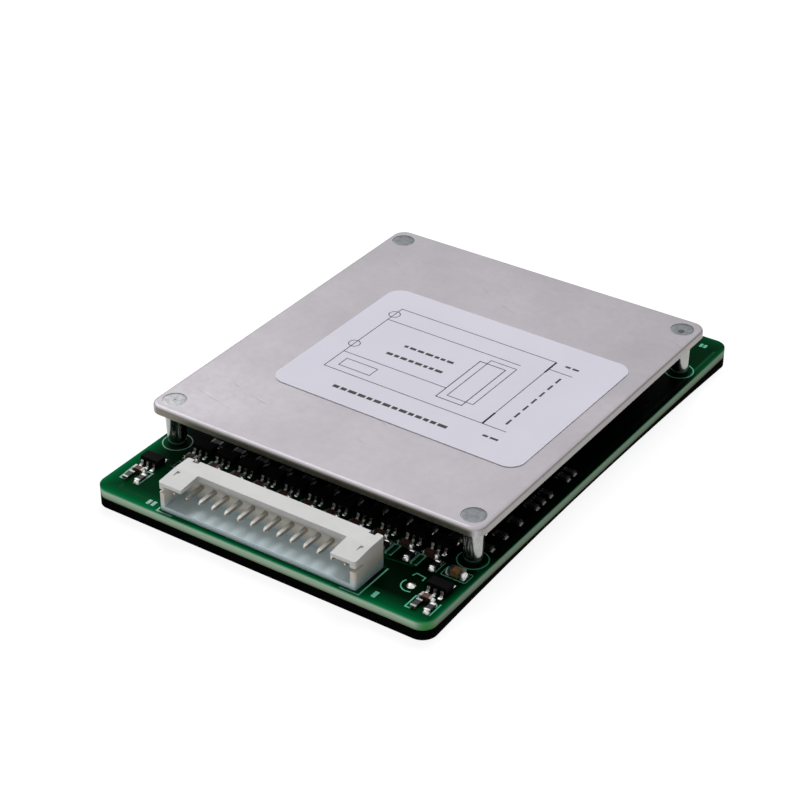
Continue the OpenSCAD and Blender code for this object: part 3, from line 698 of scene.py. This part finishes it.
def round_box(x0, y0, x1, y1, radius, steps=5):
    """The outline of a rectangle with round corners, anticlockwise."""
    centres = ((x1 - radius, y1 - radius, 0), (x0 + radius, y1 - radius, 90),
               (x0 + radius, y0 + radius, 180), (x1 - radius, y0 + radius, 270))
    return [point for x, y, turn in centres
            for point in arc(x, y, radius, turn, turn + 90, steps)]


ROW_FRONT = 12.0          # mm: the corner chips are in front of it, the row behind it
chips = sorted(middles("balance_chip_bodies"), key=lambda chip: chip.x)
row = [chip for chip in chips if chip.y > ROW_FRONT]
left_corner, right_corner = (chip for chip in chips if chip.y <= ROW_FRONT)
rivets = middles("heatsink_rivets")
header_low, header_high = (board_xyz(corner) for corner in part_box("header_housing"))


# ---------------------------------------------------------------- solder

SIDE_FILLET = 0.04        # mm of solder past the sides of a part's end
LEAN_JOINTS = ("side_resistor", "gate_resistor", "bleed_resistor", "shunt")
FULL_TOE, LEAN_TOE = (0.22, 0.9), (0.1, 0.55)      # mm past the tip; share of the height
TIP_SHARE = 0.9           # where the joint stands, from an end's middle to its tip
PIN_HALF = 0.25           # half the width of a header pin
# Profiles of (radius, drop below the board) and (radius, height over it)
TAIL_CONE = ((0.72, 0), (0.6, 0.12), (0.42, 0.35), (0.3, 0.6), (0, 0.66))
TEST_DOME = ((0.62, 0.0), (0.58, 0.05), (0.42, 0.2), (0.2, 0.3), (0, 0.33))
TEST_PAD = (45.15, 5.33)
LEAD_HOLE = 3.2           # mm from the middle of a lead pad to each of its two holes
BORE, WALL, RIM = 1.455, 1.495, 1.6      # a barrel's radii: inside, outside, on the pad


def lead_joints():
    """Solder drawn up round every chip lead's foot."""
    piece = Piece("lead_solder", ["solder"], "tin")
    for node in ("balance_chip", "balance_fet", "protection_chip"):
        bodies = middles(node + "_bodies")
        for low, high in islands(node + "_leads"):
            lead = (low + high) / 2
            owner = min(bodies, key=lambda body: (body - lead).length)
            side = 1 if lead.y > owner.y else -1
            tip = high.y if side > 0 else low.y
            piece.pillow(lead.x, tip - side * 0.06, half_x=(high.x - low.x) * 0.68,
                         half_y=0.36, height=0.13)
    piece.done()


def by_corner_chip(resistor):
    """Whether a resistor is the one just in front of a corner chip and to its left."""
    return any(0 < chip.x - resistor.x < 1.5 and 0 < chip.y - resistor.y < 5
               for chip in (left_corner, right_corner))


def end_joints():
    """Solder at both ends of the small parts, and over the caps of the resistors before
    the chips. The resistors close by the corner chips show none."""
    piece = Piece("end_solder", ["solder", "tin_in_shade"], "tin")
    for node in ("cell_resistor", "gate_resistor", "side_resistor", "filter_capacitor",
                 "bleed_resistor", "shunt", "supply_capacitor"):
        bodies = middles(node + ("_body" if node == "supply_capacitor" else "_bodies"))
        lean = node in LEAN_JOINTS
        # Lean joints take the darker tin, a painted shade
        piece.look = 1 if lean else 0
        toe, rise = LEAN_TOE if lean else FULL_TOE
        for low, high in islands(node + "_ends"):
            end = (low + high) / 2
            owner = min(bodies, key=lambda body: (body - end).length)
            if node == "cell_resistor" and by_corner_chip(owner):
                continue
            way, size = end - owner, high - low
            if abs(way.x) > abs(way.y):
                step = Vector((math.copysign(size.x / 2, way.x), 0))
                half = (size.x / 2 + toe, size.y / 2 + SIDE_FILLET)
            else:
                step = Vector((0, math.copysign(size.y / 2, way.y)))
                half = (size.x / 2 + SIDE_FILLET, size.y / 2 + toe)
            piece.pillow(end.x + step.x * TIP_SHARE, end.y + step.y * TIP_SHARE, *half,
                         height=size.z * rise, steps=8)
            if node == "cell_resistor":
                piece.pillow(end.x, end.y, size.x / 2 - 0.05, size.y / 2 + 0.08,
                             height=0.12, base=high.z - 0.02, steps=8, power=2.0)
    piece.done()


def tail_joints():
    """Solder cones round the header's pins where they come out under the board."""
    piece = Piece("tail_solder", ["solder"], "tin")
    cone = [(radius, board_under - drop) for radius, drop in TAIL_CONE]
    for low, high in islands("header_pins"):
        piece.lathe((low.x + high.x) / 2, high.y - PIN_HALF, cone, 20)
    piece.done()


def bare_pad():
    """The round tinned pad by the header's right end."""
    piece = Piece("test_pad", ["solder"], "tin")
    piece.lathe(*TEST_PAD, TEST_DOME)
    piece.done()


def lead_barrels():
    """The tin plating down the four lead holes, with its rim on the pads."""
    piece = Piece("lead_barrels", ["plated"], "tin")
    profile = [(WALL, 0.005), (RIM, 0.005), (RIM, 0.07), (1.52, 0.09), (BORE, 0.04),
               (BORE, board_under), (WALL, board_under)]
    for centre in middles("lead_pads"):
        for side in (-1, 1):
            piece.lathe(centre.x + side * LEAD_HOLE, centre.y, profile, closed=True)
    piece.done()


# ---------------------------------------------------------------- board print

INK_H = 0.02                              # how far the ink stands up from the mask
FINE, THIN, NORMAL = 0.13, 0.17, 0.2      # the widths of printed lines
RIVET_RING = 1.97                         # the radius of the ring round each rivet


def printed_outlines():
    """The white outlines printed on the mask."""
    piece = Piece("printed_outlines", ["screen"], "board")

    def line(points, width=NORMAL, closed=False):
        piece.ribbon(points, width, 0.0, INK_H, closed)

    for rivet in rivets:
        line(circle(rivet.x, rivet.y, RIVET_RING, 48), THIN, True)

    # Round the parts of the left corner
    line([(1.95, 6.5), (1.42, 6.2), (1.62, 3.36), (2.45, 3.36)])
    line([(3.8, 3.34), (4.6, 3.34), (4.6, 6.25), (3.75, 6.25)])
    line([(5.5, 8.95), (5.5, 11.9)])
    line([(5.5, 10.4), (6.4, 10.4)])
    line([(6.4, 11.9), (5.5, 11.9)])
    line([(5.5, 8.95), (6.0, 8.95)])

    # Brackets at the header's ends
    left, right, back = header_low.x, header_high.x, header_high.y
    line([(left - 0.25, 1.1), (left - 0.25, 0.3), (left + 2.15, 0.3)])
    line([(right + 0.66, back - 0.2), (right + 0.66, 0.29), (right - 2.1, 0.29)])

    # Between the chips' capacitors, and beside their resistors
    for chip in row:
        line(arc(chip.x + 1.4, 11.5, 0.42, 200, 340, 10), FINE)
        line(arc(chip.x - 1.35, 11.5, 0.42, 20, 160, 10), FINE)
        line([(chip.x + 2.05, 9.1), (chip.x + 2.05, 11.3)], FINE)
        for side in (-1, 1):
            x = chip.x - 1.05 + side * 0.42
            hook = x - side * 0.26
            line([(hook, 8.95), (x, 8.95), (x, 11.1), (hook, 11.1)], THIN)

    # Round the supply capacitor and the parts of the right corner
    cap = middles("supply_capacitor_body")[0]
    line(round_box(cap.x - 1.75, cap.y - 0.95, cap.x + 1.75, cap.y + 0.95, 0.25), 0.14, True)
    x = right_corner.x
    line([(x - 1.1, 4.3), (x - 1.65, 4.0), (x - 1.65, 1.65), (x - 0.9, 1.65)])
    line([(x + 1.75, 1.7), (x + 1.75, 4.2)])
    line([(44.15, 7.05), (44.4, 7.7), (45.75, 7.5), (45.75, 6.8)], THIN)
    line(arc(*TEST_PAD, 1.25, 150, 300, 20), THIN)
    piece.done()


def printed_marks():
    """Plain bars where such a board has its pin and lead marks."""
    piece = Piece("printed_marks", ["screen"], "board")

    def bars(x, y, count, size=0.5, step=0.75):
        """Bars side by side, twice as deep as they are wide."""
        for i in range(count):
            left = x + i * step
            piece.prism(round_box(left, y, left + size, y + 2 * size, 0.1), 0.0, INK_H)

    bars(8.0, 0.7, 2)
    bars(42.3, 0.9, 1, 0.6)
    bars(47.6, 73.6, 2, 0.45, 0.6)
    for x in (12.0, board_w - 12.0):
        bars(x - 1.1, 70.0, 3)
    piece.done()


# ---------------------------------------------------------------- copper

TRACK_H = 0.012           # how far the mask stands up over a track
CHIP_LEAD = 0.95          # mm from a chip's middle to its outer leads


def tracks():
    """Copper tracks under the mask, from the chips to the header and along the sides."""
    piece = Piece("masked_tracks", ["copper"], "board")

    def line(points, width):
        piece.ribbon(points, width, 0.0, TRACK_H)

    pins = sorted(pin.x for pin in middles("header_pins"))
    for i, chip in enumerate(row):
        pin = pins[i + 1]
        left, right = chip.x - CHIP_LEAD, chip.x + CHIP_LEAD
        line([(pin, 6.9), (pin, 7.6), (left, 8.6), (left, 12.6)], 0.22)
        line([(right, 15.6), (right, 18.4)], 0.25)
    line([(3.0, 2.4), (3.0, 1.5), (9.0, 1.5)], 0.35)
    line([(0.9, 12.5), (0.9, board_d - 3)], 0.5)
    line([(board_w - 0.8, 12.0), (board_w - 0.8, board_d - 3)], 0.4)
    piece.done()


# ---------------------------------------------------------------- label print

LABEL_TURN = -0.7         # degrees askew on the plate
WORD_GAP = 0.3            # mm between the bars of a line of print


def label_print():
    """A made-up sheet of plain lines, boxes and bars: it says and draws nothing real."""
    low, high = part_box("label")
    centre = board_xyz((low + high) / 2)
    base = (high.z - board_high.z) / MM
    top = base + INK_H / 2
    turn = Matrix.Rotation(math.radians(LABEL_TURN), 2)
    piece = Piece("label_print", ["ink"], "paper")

    def at(u, v):
        """A place on the label, measured from its middle along its own sides."""
        moved = turn @ Vector((u, v))
        return (centre.x + moved.x, centre.y + moved.y)

    def line(points, width=0.12, closed=False):
        piece.ribbon([at(*point) for point in points], width, base, top, closed)

    def words(u, v, length, height, least=0.5, most=1.2):
        """A row of short bars, as long as a line of print."""
        end = u + length
        while u < end:
            step = rng.uniform(least, most)
            piece.prism([at(*p) for p in corners(u, v, u + step, v + height)], base, top)
            u += step + WORD_GAP

    line(corners(-15, -8, 10, 10), closed=True)
    line([(-15, 6.6), (6.5, 6.6)])
    line([(-15, -3.6), (1.5, -3.6)])
    line(corners(1.5, -6, 5.5, 4.5), 0.14, True)
    line(corners(2.6, -5, 6.6, 5.5), closed=True)
    line(corners(-13.5, -6.8, -8.5, -4.9), closed=True)
    for v in (-6.5, -4.5, -2.5, -0.5, 1.5, 3.5, 5.5):
        line([(12.6, v), (12.6, v + 1.3)], 0.3)
    for v in (-8, 8):
        line([(10, v), (13.6, v)])
    line([(10, -8), (10, -5)], 0.28)
    line([(10, 7), (10, 10)], 0.28)
    for v in (-1.2, 8.2):
        line(circle(-15, v, 0.8, 20), closed=True)
    words(-9, 1.8, 7, 0.5)
    words(-10, -1.0, 8, 0.55)
    words(-11, -11.7, 17, 0.6, 0.7, 1.4)
    words(11.5, -10.4, 2.4, 0.4)
    words(11.5, 9.6, 2.0, 0.4)
    piece.done()


# ---------------------------------------------------------------- rivet faces

# Profiles of (radius, height over the head), in millimetres
HEAD_FACE = ((1.58, 0), (1.5, 0.03), (1.1, 0.025), (0.5, 0.03), (0, 0.028))
DIMPLE = ((0.46, 0.028), (0.38, 0.036), (0.2, 0.031), (0, 0.03))
CENTRE_MARK = ((0.14, 0.028), (0, 0.034))


def rivet_faces():
    """The matt face of each rivet's head, and the dimple that forming leaves in some, drawn as
    a dark disc, a painted shade.
    """
    piece = Piece("rivet_faces", ["rivet", "worn_rivet", "dimple"], "rivet")
    top = (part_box("heatsink_rivets")[1].z - board_high.z) / MM

    def turned(look, x, y, profile, steps):
        """A profile over the heads, turned about a place in one of the piece's looks."""
        piece.look = look
        piece.lathe(x, y, [(radius, top + rise) for radius, rise in profile], steps)

    for rivet in rivets:
        front_left = rivet.x < board_w / 2 and rivet.y < board_d / 2
        back_right = rivet.x > board_w / 2 and rivet.y > board_d / 2
        turned(1 if front_left else 0, rivet.x, rivet.y, HEAD_FACE, 40)
        # Look 2 is the dark copy: the dimple and the centre mark are painted shade
        if back_right:
            turned(2, rivet.x + 0.1, rivet.y - 0.5, DIMPLE, 24)
        elif front_left:
            turned(2, rivet.x, rivet.y, CENTRE_MARK, 16)
    piece.done()


# ---------------------------------------------------------------- studio

AMBIENT = (0.04, 0.32)    # the room's level on matt faces: near the ground, and overhead
MIRRORED = (0.93, 2.0)    # the same as seen in metal: all round, and in the ceiling's light
HORIZON = 0.35            # how much of that is left near the ground
FLOOR_LIFT = 0.9          # the floor's own white as the camera and the metal see it
FLOOR_BOUNCE = 0.75       # and as it lights matt faces
FLOOR_REACH = 6.0         # metres
FLOOR_GAP = 0.02          # mm between the part and the floor

# Directions, each with the cosines from it at which a level starts and stops growing
OVERHEAD = ((-0.3, -0.1, 0.9), 0.1, 0.95)
CEILING_LIGHT = ((-0.74, 0.2, 0.66), 0.82, 0.97)
UPWARDS = ((0, 0, 1), 0.1, 0.5)

CAMERA_TURNS = (34.484, 32.328, -0.244)      # degrees of azimuth, elevation and roll
CAMERA_AIM = (-4.654, 0.283, 2.75)           # mm in the shared frame
CAMERA_DISTANCE = 287.105                    # mm
CAMERA_LENS, CAMERA_SENSOR = 95.8, 36.0      # mm
CAMERA_CLIP = (0.01, 20.0)                   # metres


def room():
    """The world: one set of levels for matt faces, one for metal, and white behind."""
    world = bpy.data.worlds.new("studio")
    bpy.context.scene.world = world
    world.use_nodes = True
    tree = Tree(world.node_tree)
    way = tree.node("TexCoord").outputs["Generated"]

    def level(span, low, high):
        """A level that grows from low to high as a ray turns towards a direction."""
        toward, start, end = span
        turned = tree.node("VectorMath", {0: way, 1: Vector(toward).normalized()},
                           operation="DOT_PRODUCT").outputs["Value"]
        return tree.fade(turned, start, end, low, high, interpolation_type="SMOOTHSTEP")

    def choose(fac, a, b):
        """Level a where fac is 0, and level b where it is 1."""
        return tree.node("Mix", {"Factor": fac, "A": a, "B": b}).outputs["Result"]

    rays = tree.node("LightPath").outputs
    mirrored = tree.maths("MAXIMUM", rays["Is Glossy Ray"], rays["Is Transmission Ray"])
    in_metal = tree.maths(
        "MULTIPLY", level(CEILING_LIGHT, *MIRRORED), level(UPWARDS, HORIZON, 1.0))
    strength = choose(mirrored, level(OVERHEAD, *AMBIENT), in_metal)
    background = world.node_tree.nodes["Background"]
    background.inputs["Color"].default_value = (1, 1, 1, 1)
    tree.put(background.inputs["Strength"], choose(rays["Is Camera Ray"], strength, 1.0))


def floor():
    """A wide white floor that keeps the part's shadow, and lights it less than it shows."""
    mesh = bpy.data.meshes.new("floor")
    reach = FLOOR_REACH
    square = [(x, y, 0) for x, y in corners(-reach, -reach, reach, reach)]
    mesh.from_pydata(square, [], [(0, 1, 2, 3)])
    made = bpy.data.objects.new("floor", mesh)
    made.location.z = cad_box[0][2] - FLOOR_GAP * MM
    bpy.context.scene.collection.objects.link(made)
    paint = Look("floor_paint", (0.18, 0.18, 0.18), 0.9,
                 Specular_IOR_Level=0.0, Emission_Color=(1, 1, 1, 1))
    rays = paint.node("LightPath").outputs
    shown = paint.maths("MAXIMUM", rays["Is Camera Ray"], rays["Is Glossy Ray"])
    paint.feed("Emission Strength", paint.fade(shown, 0.0, 1.0, FLOOR_BOUNCE, FLOOR_LIFT))
    mesh.materials.append(paint.material)


def lamp(name, way, distance, size, level):
    """A square lamp along a direction, at a distance in metres. Its level is what it adds
    to a white face that looks at it."""
    data = bpy.data.lights.new(name, "AREA")
    data.size = size
    data.energy = level * (math.pi * distance) ** 2
    made = bpy.data.objects.new(name, data)
    toward = Vector(way).normalized()
    made.location = toward * distance
    made.rotation_euler = toward.to_track_quat("Z", "Y").to_euler()
    made.visible_glossy = False
    bpy.context.scene.collection.objects.link(made)


def camera():
    """A long lens, from above the header's edge and to its right."""
    azimuth, elevation, roll = (math.radians(angle) for angle in CAMERA_TURNS)
    back = Vector((
        math.sin(azimuth) * math.cos(elevation), -math.cos(azimuth) * math.cos(elevation),
        math.sin(elevation)))
    data = bpy.data.cameras.new("camera")
    data.lens, data.sensor_width = CAMERA_LENS, CAMERA_SENSOR
    data.clip_start, data.clip_end = CAMERA_CLIP
    made = bpy.data.objects.new("camera", data)
    made.location = Vector(CAMERA_AIM) * MM + back * CAMERA_DISTANCE * MM
    made.rotation_mode = "QUATERNION"
    made.rotation_quaternion = back.to_track_quat("Z", "Y") @ Matrix.Rotation(
        roll, 3, "Z").to_quaternion()
    bpy.context.scene.collection.objects.link(made)
    bpy.context.scene.camera = made


dress_nodes()
lead_joints()
end_joints()
tail_joints()
bare_pad()
lead_barrels()
printed_outlines()
printed_marks()
tracks()
label_print()
rivet_faces()

bpy.context.scene.view_settings.view_transform = "Standard"
room()
floor()
lamp("key", way=(-0.3, 0.7, 1.0), distance=2.4, size=1.5, level=0.95)
camera()
